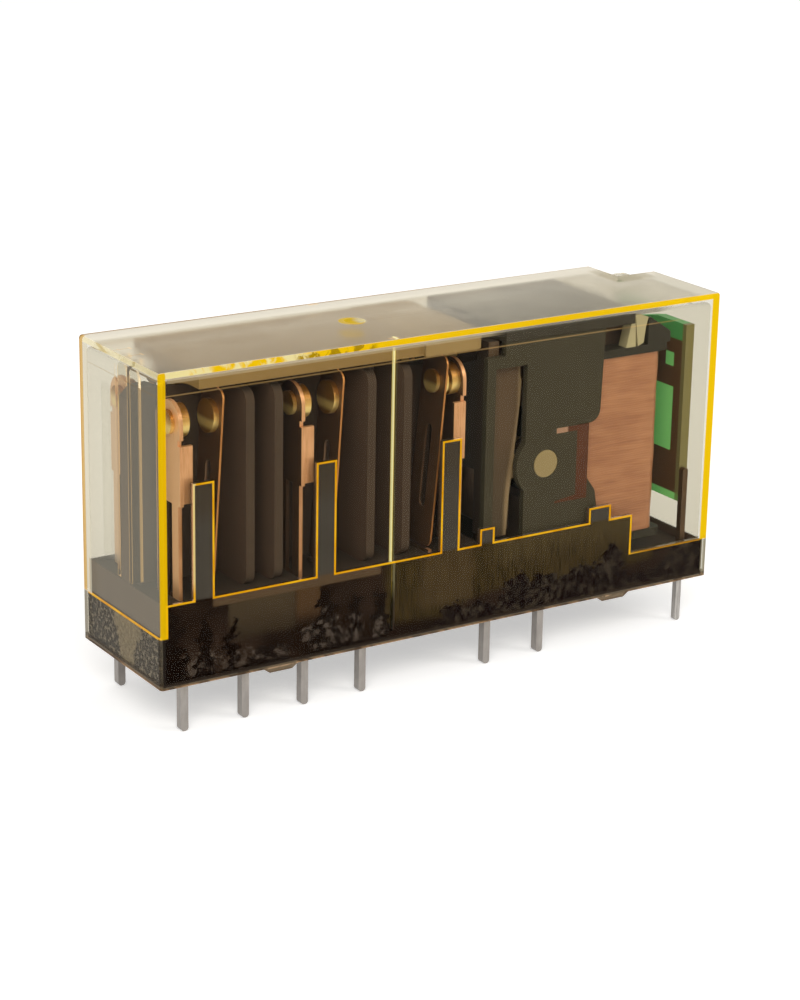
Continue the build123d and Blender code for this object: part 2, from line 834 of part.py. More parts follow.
# The bearing frame: two cheeks with their windows, joined by two braces.
cheek_top = bar_height - fit_gap
cheek_corner = cheek_right - cheek_right_lean
cheek_points = (
    (cheek_left, bay_floor),
    (cheek_left, cheek_shoulder),
    (bar_left, cheek_shoulder),
    (bar_left, cheek_top),
    (cheek_right, cheek_top),
    (cheek_corner, cheek_lower_edge),
    (cheek_waist, cheek_lower_edge),
    (cheek_waist, cheek_foot_top),
    (bracket_right, cheek_foot_top),
    (bracket_right, cheek_toe_crest),
    cheek_toe_bend,
    (cheek_foot_right, cheek_toe_height),
    (cheek_foot_right, bay_floor),
)
with BuildPart() as bearing_frame:
    for side in (-1, 1):
        with BuildSketch(Plane.XZ.offset(-side * cheek_middle)) as cheek:
            with BuildLine():
                Polyline(*[(at(station), rim + height) for station, height in cheek_points], close=True)
            make_face()
            lower_corner = (at(cheek_corner), rim + cheek_lower_edge)
            fillet(cheek.vertices().sort_by_distance(lower_corner)[0], cheek_round)
            with BuildLine():
                Polyline(
                    (at(window_left), rim + window_bottom),
                    (at(window_right), rim + window_bottom),
                    (at(window_right), rim + window_top),
                    (at(window_left), rim + window_top),
                    close=True,
                )
            make_face(mode=Mode.SUBTRACT)
            with Locations((pivot_x, pivot_z)):
                Circle(boss_radius)
                Circle(pivot_radius + pivot_gap, mode=Mode.SUBTRACT)
        extrude(amount=cheek_thickness / 2, both=True)
        placed = plate_outline(bracket_points, side * cheek_middle)
        extrude(placed, amount=cheek_thickness, both=True, mode=Mode.SUBTRACT)
    for low in (lower_brace_bottom, upper_brace_bottom):
        block(
            at(brace_left),
            at(brace_left) + brace_length,
            -cheek_inner,
            cheek_inner,
            rim + low,
            rim + low + brace_height,
        )
save(bearing_frame, "bearing_frame")

# Black bar that holds the yoke down.
with BuildPart() as retainer_bar:
    bar_right = at(coil_left) + bar_reach
    bar_top = bar_bottom + bar_thickness
    block(at(bar_left), bar_right, -cheek_outer, cheek_outer, bar_bottom, bar_top)
save(retainer_bar, "retainer_bar")

# Coil pins and the upright circuit board soldered to them.
coil_half = coil_pin_width / 2
for row, side in rows:
    with BuildPart() as coil_pin:
        blade(
            coil_pin_x - coil_half,
            coil_pin_x + coil_half,
            side * pin_row - coil_half,
            side * pin_row + coil_half,
            -pin_length,
            rim + coil_pin_top,
        )
    save(coil_pin, f"coil_pin_{row}")

with BuildPart() as circuit_board:
    board_left = coil_pin_x - coil_half
    board_half = pin_row - coil_half - board_gap
    block(
        board_left,
        board_left + board_thickness,
        -board_half,
        board_half,
        rim + board_bottom,
        rim + board_top,
    )
save(circuit_board, "circuit_board")
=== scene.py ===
"""Slim circuit-board power relay in a clear yellow cover, dressed over its CAD frame."""

import math
from types import SimpleNamespace

import bmesh
import bpy
import numpy as np
from mathutils import Matrix, Vector


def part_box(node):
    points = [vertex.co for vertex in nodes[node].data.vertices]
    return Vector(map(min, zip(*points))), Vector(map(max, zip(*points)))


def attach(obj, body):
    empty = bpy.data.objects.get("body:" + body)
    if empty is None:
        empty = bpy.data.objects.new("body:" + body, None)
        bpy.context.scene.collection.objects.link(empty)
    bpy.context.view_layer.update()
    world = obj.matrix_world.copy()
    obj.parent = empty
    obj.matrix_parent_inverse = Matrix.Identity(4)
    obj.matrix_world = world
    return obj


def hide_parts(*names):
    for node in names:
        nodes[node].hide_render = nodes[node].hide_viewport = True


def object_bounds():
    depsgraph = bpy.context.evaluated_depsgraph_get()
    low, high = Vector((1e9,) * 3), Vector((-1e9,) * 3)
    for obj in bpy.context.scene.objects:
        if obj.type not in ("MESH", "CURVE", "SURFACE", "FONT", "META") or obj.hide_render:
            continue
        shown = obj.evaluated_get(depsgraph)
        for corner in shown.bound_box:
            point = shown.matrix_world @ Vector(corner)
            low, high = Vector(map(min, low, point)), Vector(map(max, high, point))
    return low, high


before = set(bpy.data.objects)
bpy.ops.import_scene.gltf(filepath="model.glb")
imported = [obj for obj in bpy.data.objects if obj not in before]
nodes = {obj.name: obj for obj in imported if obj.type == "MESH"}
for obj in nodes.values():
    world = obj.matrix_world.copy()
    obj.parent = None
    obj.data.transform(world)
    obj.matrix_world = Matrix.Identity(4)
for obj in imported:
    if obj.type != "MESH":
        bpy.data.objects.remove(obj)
cad_low, cad_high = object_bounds()


# Studio: a pale table top that fades into white, one large soft lamp high on the left of the
# camera, a weaker one on the right, and even light from all round.


class Value:
    """A number, colour, place or shader that nodes work out. Arithmetic on it adds a node. Between
    masks, & is where both are and | is where either is."""

    def __init__(self, socket):
        self.socket = socket
        self.tree = socket.id_data

    def calc(self, operation, *others):
        """One arithmetic node."""
        made = node(self.tree, "ShaderNodeMath", dict(enumerate((self, *others))), operation=operation)
        return Value(made.outputs[0])

    def __add__(self, other):
        return self.calc("ADD", other)

    def __sub__(self, other):
        return self.calc("SUBTRACT", other)

    def __rsub__(self, other):
        made = node(self.tree, "ShaderNodeMath", {0: other, 1: self}, operation="SUBTRACT")
        return Value(made.outputs[0])

    def __mul__(self, other):
        return self.calc("MULTIPLY", other)

    def __truediv__(self, other):
        return self.calc("DIVIDE", other)

    def __abs__(self):
        return self.calc("ABSOLUTE")

    def __and__(self, other):
        return self.calc("MULTIPLY", other)

    def __or__(self, other):
        return self.at_least(other)

    def at_least(self, other):
        """The larger of the two."""
        return self.calc("MAXIMUM", other)

    def root(self):
        """The square root."""
        return self.calc("SQRT")


def node(tree, kind, inputs=None, **settings):
    """One shader node: settings are its own options, inputs are numbers or values by name or place."""
    made = tree.nodes.new(kind)
    for name, value in settings.items():
        setattr(made, name, value)
    for name, value in (inputs or {}).items():
        if isinstance(value, Value):
            tree.links.new(value.socket, made.inputs[name])
        else:
            made.inputs[name].default_value = value
    return made


def feed(value, target, name):
    """Links a value to an input of a node."""
    value.tree.links.new(value.socket, target.inputs[name])


def blend_colour(share, first, second):
    """The first colour where share is 0 and the second where it is 1."""
    first, second = (colour if isinstance(colour, Value) else (*colour, 1.0) for colour in (first, second))
    made = node(share.tree, "ShaderNodeMix", {0: share, 6: first, 7: second}, data_type="RGBA")
    return Value(made.outputs[2])


def seen_directly(tree):
    """1 for rays that show the studio to the camera, by themselves, in a gloss or through glass."""
    path = node(tree, "ShaderNodeLightPath").outputs
    return Value(path["Is Camera Ray"]) | Value(path["Is Glossy Ray"]) | Value(path["Is Transmission Ray"])


def new_material(name):
    """A material with its node tree and its shader."""
    made = bpy.data.materials.new(name)
    made.use_nodes = True
    return made, made.node_tree, made.node_tree.nodes["Principled BSDF"]


sky_level = 0.62
world = bpy.data.worlds.new("even studio light")
world.use_nodes = True
sky = world.node_tree
sky.nodes.clear()
sky_shown = seen_directly(sky)
sky_strength = sky_shown * (1.0 - sky_level) + sky_level
sky_tone = blend_colour(sky_shown, (1.0, 0.985, 0.96), (1.0, 1.0, 1.0))
sky_light = node(sky, "ShaderNodeBackground", {"Color": sky_tone, "Strength": sky_strength})
node(sky, "ShaderNodeOutputWorld", {"Surface": Value(sky_light.outputs[0])})
bpy.context.scene.world = world

paper_grey, paper_level = 0.8, 0.42
table_white, paper, paper_shader = new_material("white table top")
paper_shader.inputs["Base Color"].default_value = (paper_grey, paper_grey, paper_grey, 1.0)
paper_shader.inputs["Roughness"].default_value = 0.9
paper_shader.inputs["Emission Color"].default_value = (1.0, 1.0, 1.0, 1.0)
feed(seen_directly(paper) * paper_level, paper_shader, "Emission Strength")

reach = 3.0
table_height = cad_low.z - 0.00002
table_mesh = bpy.data.meshes.new("table top")
table_corners = [(-reach, -reach), (reach, -reach), (reach, reach), (-reach, reach)]
table_mesh.from_pydata([(x, y, table_height) for x, y in table_corners], [], [(0, 1, 2, 3)])
table_mesh.materials.append(table_white)
table_top = bpy.data.objects.new("table_top", table_mesh)
bpy.context.scene.collection.objects.link(table_top)


def soft_lamp(name, place, size, power):
    """A square soft box that faces the foot of the relay."""
    lamp = bpy.data.lights.new(name, "AREA")
    lamp.size = size
    lamp.energy = power
    lamp.color = (1.0, 0.975, 0.94)
    holder = bpy.data.objects.new(name, lamp)
    bpy.context.scene.collection.objects.link(holder)
    holder.location = place
    aim = Vector((0, 0, 0.01))
    holder.rotation_euler = (aim - Vector(place)).to_track_quat("-Z", "Y").to_euler()


soft_lamp("large soft lamp", place=(-0.22, -0.34, 0.36), size=0.3, power=1.5)
soft_lamp("small soft lamp", place=(0.3, -0.3, 0.22), size=0.2, power=0.5)

# Camera: low on the left front corner, with a long lens.
azimuth, elevation, roll = math.radians(-32.82), math.radians(18.248), math.radians(1.068)
distance = 0.20489
look_at = Vector((-0.000157, 0.000977, 0.008783))
level = math.cos(elevation)
back = Vector((math.sin(azimuth) * level, -math.cos(azimuth) * level, math.sin(elevation)))
right = Vector((math.cos(azimuth), math.sin(azimuth), 0))
up = back.cross(right)
right_rolled = math.cos(roll) * right + math.sin(roll) * up
up_rolled = math.cos(roll) * up - math.sin(roll) * right
camera_data = bpy.data.cameras.new("camera")
camera_data.lens = 94.42
camera_data.sensor_width = 36.0
camera_data.clip_start, camera_data.clip_end = 0.01, 20.0
camera = bpy.data.objects.new("camera", camera_data)
bpy.context.scene.collection.objects.link(camera)
turn = Matrix((right_rolled, up_rolled, back)).transposed()
camera.matrix_world = Matrix.Translation(look_at + back * distance) @ turn.to_4x4()
bpy.context.scene.camera = camera
bpy.context.scene.view_settings.view_transform = "Standard"


# Cover: one injection moulding of clear plastic with a fluorescent yellow dye. The dye gathers
# light in the walls and lets it out at their ends; here the edges carry a painted glow, and many
# marks carry painted glow and painted shade, while the faces stay clear.
# It snaps over the base and rests on a castellated step inside.


def apart(place):
    """The x, y and z of a place or a direction."""
    split = node(place.tree, "ShaderNodeSeparateXYZ", {0: place})
    return [Value(socket) for socket in split.outputs]


def millimetres(tree):
    """Object coordinates in millimetres: the place, and its x, y and z."""
    metres = Value(node(tree, "ShaderNodeTexCoord").outputs["Object"])
    scaled = node(tree, "ShaderNodeVectorMath", {0: metres, 1: (1000, 1000, 1000)}, operation="MULTIPLY")
    place = Value(scaled.outputs[0])
    return place, *apart(place)


def rise(value, low, high):
    """0 below low, 1 above high and a smooth step between; falls when low is above high."""
    ends = {"Value": value, "From Min": low, "From Max": high}
    made = node(value.tree, "ShaderNodeMapRange", ends, interpolation_type="SMOOTHSTEP")
    return Value(made.outputs["Result"])


def within(value, low, high, soft=0.03):
    """1 between low and high, with soft ends."""
    return rise(value, low - soft, low) & rise(value, high + soft, high)


def cloud(place, scale, detail=2.0, roughness=0.5, stretch=(1, 1, 1), distortion=0.0):
    """Soft noise on millimetre coordinates; stretch above 1 squeezes it along that axis."""
    tree = place.tree
    squeezed = node(tree, "ShaderNodeVectorMath", {0: place, 1: stretch}, operation="MULTIPLY")
    inputs = {"Vector": Value(squeezed.outputs[0]), "Scale": scale, "Detail": detail}
    inputs |= {"Roughness": roughness, "Distortion": distortion}
    return Value(node(tree, "ShaderNodeTexNoise", inputs).outputs["Fac"])


def dimmed(colour, level):
    """A colour times a level."""
    made = node(colour.tree, "ShaderNodeVectorMath", {0: colour, "Scale": level}, operation="SCALE")
    return Value(made.outputs[0])


half_length, half_width, cover_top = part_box("cover")[1] * 1000
rim = 0.35
top_wall = 0.8
# heights above the rim: the step at the left and the right end, its long run and its tabs
left_step, right_step, long_step, tall_tab, low_tab = 3.9, 3.2, 6.4, 15.2, 7.6
# places along the length: where the step drops, the long rib of the front wall, and the gate
drop_x, rib_x, gate_x = 17.35, -5.15, -5.35

clear_yellow, glass, glass_shader = new_material("clear fluorescent yellow plastic")
glass_shader.inputs["Transmission Weight"].default_value = 1.0
glass_shader.inputs["IOR"].default_value = 1.1
glass_shader.inputs["Emission Strength"].default_value = 1.0
spot, spot_x, spot_y, spot_z = millimetres(glass)
high = spot_z - rim
below_top = spot_z - cover_top
from_middle = abs(spot_y)
front_skin = rise(spot_y, 0.2 - half_width, 0.1 - half_width)
left_skin = rise(spot_x, 0.2 - half_length, 0.1 - half_length)
right_skin = rise(spot_x, half_length - 0.2, half_length - 0.1)
top_skin = rise(below_top, -0.12, -0.05)
# the back skin glows only to its own side, so that it doesn't show through from the front
outside = 1.0 - Value(node(glass, "ShaderNodeNewGeometry").outputs["Backfacing"])
back_skin = rise(spot_y, half_width - 0.2, half_width - 0.1) & outside
long_sides = front_skin | back_skin
above_left_step = rise(high, left_step, left_step + 0.1)
mottle = cloud(spot, 0.9, 3.0, 0.6, (1.0, 0.2, 0.8), 0.6)

# painted glow at the ends of the end walls, at the corners of the long sides
left_band = rise(spot_x, 0.62 - half_length, 0.56 - half_length) & above_left_step
above_right_step = rise(high, right_step - 0.05, right_step + 0.05)
right_band = rise(spot_x, half_length - 0.85, half_length - 0.78) & above_right_step
bands = long_sides & (left_band | right_band)
# painted glow at the end of the top wall: pale with yellow patches at the left, then streaks, then full
lip = long_sides & rise(below_top, -0.46, -0.4)
lip_full = rise(mottle + rise(spot_x, -15.0, -6.0) * 0.8, 0.55, 0.72)
lip_patch = within(spot_x, -20.4, -15.1, 0.8) & rise(mottle, 0.44, 0.56)
lip_tone = blend_colour(lip_full | lip_patch, (0.72, 0.63, 0.32), (0.74, 0.44, 0.0))
dark_streak = within(spot_x, -13.4, -7.6, 0.8) & rise(mottle, 0.52, 0.44)
lip_tone = blend_colour(dark_streak, lip_tone, (0.3, 0.17, 0.0))
# the lower half of the top wall's end stays dim
under_lip = front_skin & rise(below_top, -0.02 - top_wall, 0.02 - top_wall)
under_lip = under_lip & rise(spot_x, -24.4, -24.2) & rise(spot_x, 20.5, 18.5)
under_tone = blend_colour(rise(spot_x, 2.5, 4.5), (0.24, 0.19, 0.11), (0.035, 0.03, 0.022))
# painted glow on the same wall end through the left side and on the wall ends at the back,
# painted shade below the step at the back corner, and a painted pale glow on the left end near the back
left_lip = left_skin & rise(below_top, -0.46, -0.36)
back_end = left_skin & rise(spot_y, 5.5, 5.6)
back_band = rise(spot_x, 0.3 - half_length, 0.2 - half_length) & rise(spot_y, 5.5, 5.6) & above_left_step
low_back_shade = back_end & rise(high, left_step + 0.1, left_step)
back_line = rise(below_top, -0.3, -0.2) & rise(spot_y, 5.88, 5.96) & rise(spot_x, 30.0, -14.0)
pale_end_glow = left_skin & within(spot_y, 4.8, 5.5, 0.06) & above_left_step & rise(below_top, -0.4, -0.5)
# painted pale glow in a stripe on the left end in front of the rear terminals
pale_stripe_glow = left_skin & within(spot_y, 0.1, 2.4, 0.3) & rise(high, 7.4, 8.2) & rise(high, 21.4, 20.4)
# painted glow along the long rib behind the front wall, brighter above the step
rib_glow = within(spot_x, rib_x - 0.12, rib_x + 0.12) & within(spot_y, -6.05, -5.4) & rise(high, 0.8, 1.6)
rib_core = within(spot_x, rib_x - 0.07, rib_x + 0.07, 0.05)
rib_glow_tone = blend_colour(rib_core, (0.62, 0.44, 0.03), (0.88, 0.82, 0.42))
rib_glow_tone = dimmed(rib_glow_tone, rise(high, 2.8, 4.8) * 0.88 + 0.07)
# painted glow along a hair line a little under the ceiling, where the two halves of the mould meet
seam_glow = (front_skin | left_skin) & within(high, 21.96, 22.04, 0.02) & rise(spot_x, 22.0, 19.5)
# painted glow on the edges of the two ribs at the left end
rib_ends = within(spot_x, -24.42, -24.36, 0.02) | within(spot_x, -23.56, -23.4, 0.02)
rib_edge_glow = within(from_middle, 0.7, 1.2, 0.02) & rib_ends & rise(high, 6.5, 6.6)
# round gate mark on top: the wall of the recess is lit on one side
gate_off = spot_x - gate_x
gate_reach = (gate_off * gate_off + spot_y * spot_y).root()
gate = rise(below_top, -0.3, -0.25) & rise(gate_reach, 1.15, 1.0)
gate_tone = blend_colour(rise(gate_off, 0.3, 0.9), (0.5, 0.33, 0.02), (0.5, 0.45, 0.3))
# painted shade on the lower rim, the feet, the skirt's shoulder at the right and the corners below
# the bands, and a painted glowing line along the lowest edge
rim_shade = rise(high, 0.42, 0.34) & rise(high, 0.0, 0.04)
rim_glow_line = rise(high, 0.1, 0.04)
rim_glow_tone = blend_colour(rise(mottle, 0.4, 0.6), (0.05, 0.03, 0.018), (0.27, 0.17, 0.095))
foot_shade = rise(high, -0.02, -0.07)
shoulder_shade = within(high, right_step - 0.1, right_step + 0.1) & rise(spot_x, drop_x - 0.05, drop_x + 0.05)
shoulder_shade = shoulder_shade & within(from_middle, 5.7, 6.05)
corner_skin = rise(spot_y, -5.85, -5.95)
right_corner_shade = rise(spot_x, 24.5, 24.6) & corner_skin & rise(high, right_step + 0.05, right_step - 0.05)
low_corner_shade = rise(spot_x, -24.55, -24.65) & corner_skin & rise(high, left_step + 0.1, left_step)
# painted glints on top over the ribs at the left end and over the long ribs, and flow marks beside
# the gate drawn as a faint glow
rib_glints = top_skin & within(spot_x, -24.8, -23.6, 0.1) & within(from_middle, 0.9, 0.98, 0.03)
notch_glints = top_skin & within(spot_x, -5.7, -5.0, 0.15) & within(from_middle, 5.65, 5.95, 0.15)
flow_lines = within(spot_y, 0.62, 0.68) | within(spot_y, -0.5, -0.42)
flow_marks = top_skin & within(spot_x, -3.6, 4.0, 1.5) & flow_lines

# what is painted with glow or shade, in which colour, and how much of the view through the cover it takes
glow, shut = (0.0, 0.0, 0.0), 0.0
for mask, colour, taken in (
    (seam_glow, (0.2, 0.12, 0.04), 0.33),
    (pale_stripe_glow, (0.3, 0.285, 0.22), 0.5),
    (rib_edge_glow, (0.3, 0.19, 0.07), 0.35),
    (rib_glints, (0.25, 0.15, 0.05), 0.7),
    (notch_glints, (0.34, 0.22, 0.1), 0.6),
    (flow_marks, (0.16, 0.14, 0.11), 0.5),
    (low_corner_shade, (0.012, 0.009, 0.007), 0.95),
    (shoulder_shade, (0.03, 0.022, 0.012), 0.92),
    (right_corner_shade, (0.12, 0.11, 0.075), 0.9),
    (pale_end_glow, (0.42, 0.39, 0.3), 0.85),
    (rim_shade, (0.02, 0.014, 0.01), 0.92),
    (rim_glow_line, rim_glow_tone, 0.9),
    (foot_shade, (0.085, 0.058, 0.036), 0.92),
    (gate, gate_tone, 1.0),
    (left_lip, (0.55, 0.47, 0.22), 0.7),
    (back_band, (0.42, 0.23, 0.045), 0.97),
    (low_back_shade, (0.035, 0.03, 0.024), 0.92),
    (back_line, (0.22, 0.12, 0.035), 0.95),
    (rib_glow, rib_glow_tone, 0.7),
    (under_lip, under_tone, 0.8),
    (lip, lip_tone, 1.0),
    (bands, (0.68, 0.4, 0.0), 1.0),
):
    glow = blend_colour(mask, glow, colour)
    shut = (mask * taken).at_least(shut)

# the left end, which faces the large lamp, gets a painted glow in streaks, standing in for light that the dye
# gives off
veiled = left_skin & rise(high, left_step + 0.2, left_step + 0.35)
veil = veiled * (cloud(spot, 0.7, 3.0, 0.6, (1.0, 1.0, 0.06)) * 0.5 + 0.75)
glow = blend_colour(veil - shut, glow, (0.104, 0.1, 0.078))
top_tint = blend_colour(rise(spot_x, 9.0, 20.0), (0.73, 0.66, 0.505), (0.57, 0.51, 0.385))
top_tint = blend_colour(rise(spot_y, 3.8, 5.4), top_tint, (0.6, 0.54, 0.42))
tint = blend_colour(top_skin, (0.79, 0.765, 0.69), top_tint)
tint = blend_colour(veiled, tint, (0.5, 0.48, 0.425))
tint = blend_colour(right_skin, tint, (0.62, 0.6, 0.52))
feed(glow, glass_shader, "Emission Color")
feed(blend_colour(shut, tint, (0.04, 0.025, 0.0)), glass_shader, "Base Color")
# the top is frosted by handling, and all faces ripple a little
frost = rise(below_top, -0.05, -0.01) * (cloud(spot, 0.35, 4.0, 0.6) * 0.2 + 0.22)
feed(frost + 0.03, glass_shader, "Roughness")
ripples = node(glass, "ShaderNodeBump", {"Height": cloud(spot, 0.25), "Strength": 0.08, "Distance": 0.0001})
feed(Value(ripples.outputs[0]), glass_shader, "Normal")
# lamps and soft light reach the inside
lamp_path = node(glass, "ShaderNodeLightPath").outputs
pass_through = Value(lamp_path["Is Shadow Ray"]) | Value(lamp_path["Is Diffuse Ray"])
see_through = node(glass, "ShaderNodeBsdfTransparent", {"Color": (0.94, 0.91, 0.82, 1.0)})
shaders = {1: Value(glass_shader.outputs[0]), 2: Value(see_through.outputs[0])}
glass_mix = node(glass, "ShaderNodeMixShader", {0: pass_through} | shaders)
feed(Value(glass_mix.outputs[0]), glass.nodes["Material Output"], "Surface")


def dress(material, *names):
    """Gives CAD nodes their material."""
    for name in names:
        held = nodes[name].data.materials
        held.clear()
        held.append(material)


dress(clear_yellow, "cover")

# Glowing edge of the step: a painted glow in the place of the light that the corner of the
# castellated step lets out as a line as thin as a hair all round. It's a glowing ribbon in the gap
# between the cover and the rail of the base.


def line_along(path, width, low, high):
    """A flat ribbon with square corners. Each side of the ribbon is the path moved sideways, where
    a corner moves along the sum of its two side directions, and the four long edges lie at both
    sides and at both depths. path holds points (along, height), low and high are the depths."""
    path = np.asarray(path, float)
    run = np.diff(path, axis=0)
    run /= np.linalg.norm(run, axis=1)[:, None]
    side = np.stack((run[:, 1], -run[:, 0]), 1)
    before = np.vstack((side[:1], side))
    after = np.vstack((side, side[-1:]))
    shift = np.where(np.all(np.isclose(before, after), 1)[:, None], before, before + after)
    inner = path + shift * width
    count = len(path)
    corners = np.empty((4, count, 3))
    for row, (points, depth) in enumerate(((path, low), (inner, low), (inner, high), (path, high))):
        corners[row, :, 0] = points[:, 0]
        corners[row, :, 1] = depth
        corners[row, :, 2] = points[:, 1]
    here = np.arange(count - 1)
    faces = []
    for row in range(4):
        start, beside = row * count + here, (row + 1) % 4 * count + here
        faces += np.stack((start, start + 1, beside + 1, beside), 1).tolist()
    faces += [[0, count, 2 * count, 3 * count], [4 * count - 1, 3 * count - 1, 2 * count - 1, count - 1]]
    return corners.reshape(-1, 3), faces


def piece(name, points, faces, material, smooth=False):
    """A mesh object from points in millimetres, its faces turned outwards."""
    mesh = bpy.data.meshes.new(name)
    mesh.from_pydata((np.asarray(points) / 1000).tolist(), [], faces)
    work = bmesh.new()
    work.from_mesh(mesh)
    bmesh.ops.recalc_face_normals(work, faces=work.faces)
    work.to_mesh(mesh)
    work.free()
    if smooth:
        mesh.shade_smooth()
    mesh.materials.append(material)
    made = bpy.data.objects.new(name, mesh)
    bpy.context.scene.collection.objects.link(made)
    return made


# the line's thickness, its width on the sides and on the ends, and how high it lies over the step
thin, side_width, end_width, line_rise = 0.03, 0.15, 0.2, rim - 0.01
# how far it runs along the sides and across the ends, and where the rail's ends and sides are
line_end, line_side, rail_end, rail_side = 24.4, 5.9, 24.665, 5.965
step_path = [(-line_end, left_step), (-line_end, long_step)]
for left, right, tab in (
    (-22.16, -20.44, tall_tab),
    (-11.94, -10.22, tall_tab),
    (-0.92, 0.8, tall_tab),
    (2.72, 4.05, low_tab),
    (13.08, 15.2, low_tab),
):
    step_path += [(left, long_step), (left, tab), (right, tab), (right, long_step)]
step_path += [(drop_x, long_step), (drop_x, right_step), (line_end, right_step)]
step_path = np.array(step_path) + (0, line_rise)
edge_glow, hair, hair_shader = new_material("glowing step edge")
hair_shader.inputs["Roughness"].default_value = 0.6
hair_shader.inputs["Specular IOR Level"].default_value = 0.0
hair_shader.inputs["Emission Strength"].default_value = 1.0
hair_shader.inputs["Base Color"].default_value = (0.1, 0.05, 0.0, 1.0)
hair_spot, hair_x, _, hair_z = millimetres(hair)
hair_colour = blend_colour(rise(cloud(hair_spot, 0.45, 3.0), 0.35, 0.65), (0.72, 0.32, 0.0), (0.9, 0.5, 0.01))
# a paler stretch of the painted glow near the left end
pale_edge = within(hair_x, -22.3, -21.95) & rise(hair_z, 7.0, 8.5)
feed(blend_colour(pale_edge, hair_colour, (0.8, 0.65, 0.3)), hair_shader, "Emission Color")


def glowing_line(name, points, faces):
    """One ribbon, fixed to the housing."""
    line = piece(name, points, faces, edge_glow)
    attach(line, "housing")


for row, low in (("front", -rail_side - thin), ("back", rail_side)):
    points, faces = line_along(step_path, side_width, low, low + thin)
    glowing_line(f"step_glow_{row}", points, faces)
for end, low, height in (("left", -rail_end - thin, left_step), ("right", rail_end, right_step)):
    level = height + line_rise
    points, faces = line_along([(-line_side, level), (line_side, level)], end_width, low, low + thin)
    glowing_line(f"step_glow_{end}", points[:, [1, 0, 2]], faces)


# Base: black glass-filled moulding. Its rails fill the step of the cover, and resin that ran up
# between the two has dried in grey and brown blotches behind the clear skirt.


def group(name, inputs, outputs):
    """An empty shader node group: its tree, its input values by name and its end node."""
    tree = bpy.data.node_groups.new(name, "ShaderNodeTree")
    for socket_name, kind, value in inputs:
        socket = tree.interface.new_socket(socket_name, in_out="INPUT", socket_type=kind)
        if value is not None:
            socket.default_value = value
    for socket_name, kind in outputs:
        tree.interface.new_socket(socket_name, in_out="OUTPUT", socket_type=kind)
    start = tree.nodes.new("NodeGroupInput")
    given = {socket_name: Value(start.outputs[socket_name]) for socket_name, _, _ in inputs}
    return tree, given, tree.nodes.new("NodeGroupOutput")


skin_outputs = (
    ("Colour", "NodeSocketColor"),
    ("Roughness", "NodeSocketFloat"),
    ("Height", "NodeSocketFloat"),
)

# moulded grain: soft tone changes from the flow of the plastic and a fine spark-eroded grain
grain_inputs = (
    ("Place", "NodeSocketVector", None),
    ("Colour", "NodeSocketColor", (0.5, 0.5, 0.5, 1.0)),
    ("Contrast", "NodeSocketFloat", 0.2),
)
grain, grain_in, grain_out = group("moulded grain", grain_inputs, skin_outputs)
flow = cloud(grain_in["Place"], 0.3, 3.0, 0.6)
speck = cloud(grain_in["Place"], 26.0, 2.0, 0.6)
tone = (speck * 0.12 + flow - 0.56) * grain_in["Contrast"] + 1.0
feed(dimmed(grain_in["Colour"], tone), grain_out, "Colour")
feed(flow * 0.3 + 0.35, grain_out, "Roughness")
feed(speck, grain_out, "Height")


def skinned(name, skin_tree, relief, depth):
    """A material whose shader takes its colour and a fine relief from a skin group."""
    material, tree, shader = new_material(name)
    place, x, y, z = millimetres(tree)
    skin = node(tree, "ShaderNodeGroup", {"Place": place}, node_tree=skin_tree)
    colour, roughness, height = (Value(skin.outputs[each]) for each in ("Colour", "Roughness", "Height"))
    feed(colour, shader, "Base Color")
    bump = node(tree, "ShaderNodeBump", {"Height": height, "Strength": relief, "Distance": depth})
    feed(Value(bump.outputs[0]), shader, "Normal")
    made = SimpleNamespace(material=material, tree=tree, shader=shader, skin=skin)
    made.colour, made.roughness = colour, roughness
    made.place, made.x, made.y, made.z = place, x, y, z
    return made


def moulded(name, colour, contrast=0.3, gloss=0.0, relief=0.08, shine=0.12):
    """A moulded plastic: the grain group over one colour, or over a colour worked out by nodes."""
    made = skinned(name, grain, relief, 0.00003)
    made.shader.inputs["Specular IOR Level"].default_value = shine
    made.skin.inputs["Colour"].default_value = (*colour, 1.0)
    made.skin.inputs["Contrast"].default_value = contrast
    feed(made.roughness - gloss, made.shader, "Roughness")
    return made


def facing(tree):
    """The direction that a face looks in, as x, y and z."""
    return apart(Value(node(tree, "ShaderNodeTexCoord").outputs["Normal"]))


def skyline(along, humps, dome=True):
    """The height of the highest hump at a place; a hump is its middle, its reach to each side and its
    height, and it is a round dome or falls away to a point."""
    line = 0.0
    for middle, reach, height in humps:
        off = abs(along - middle)
        part = off / reach
        shape = (1.0 - part * part).at_least(0.0).root() if dome else rise(off, reach, 0.0)
        line = (shape * height).at_least(line)
    return line


shell = moulded("black glass-filled plastic", (0.035, 0.028, 0.024), shine=0.03)
along = shell.x + half_length
high = shell.z - rim
deep = shell.y + half_width
lumps = cloud(shell.place, 1.1, 4.0, 0.7) - 0.5
bent = (cloud(shell.place, 0.9, 3.0, 0.6, (1.0, 1.0, 1.7)) - 0.5) * 3.2 + along
crumb = rise(cloud(shell.place, 2.6, 5.0, 0.75), 0.47, 0.6)
brush = rise(cloud(shell.place, 3.0, 4.0, 0.75, (2.6, 1.0, 0.16)), 0.3, 0.7)
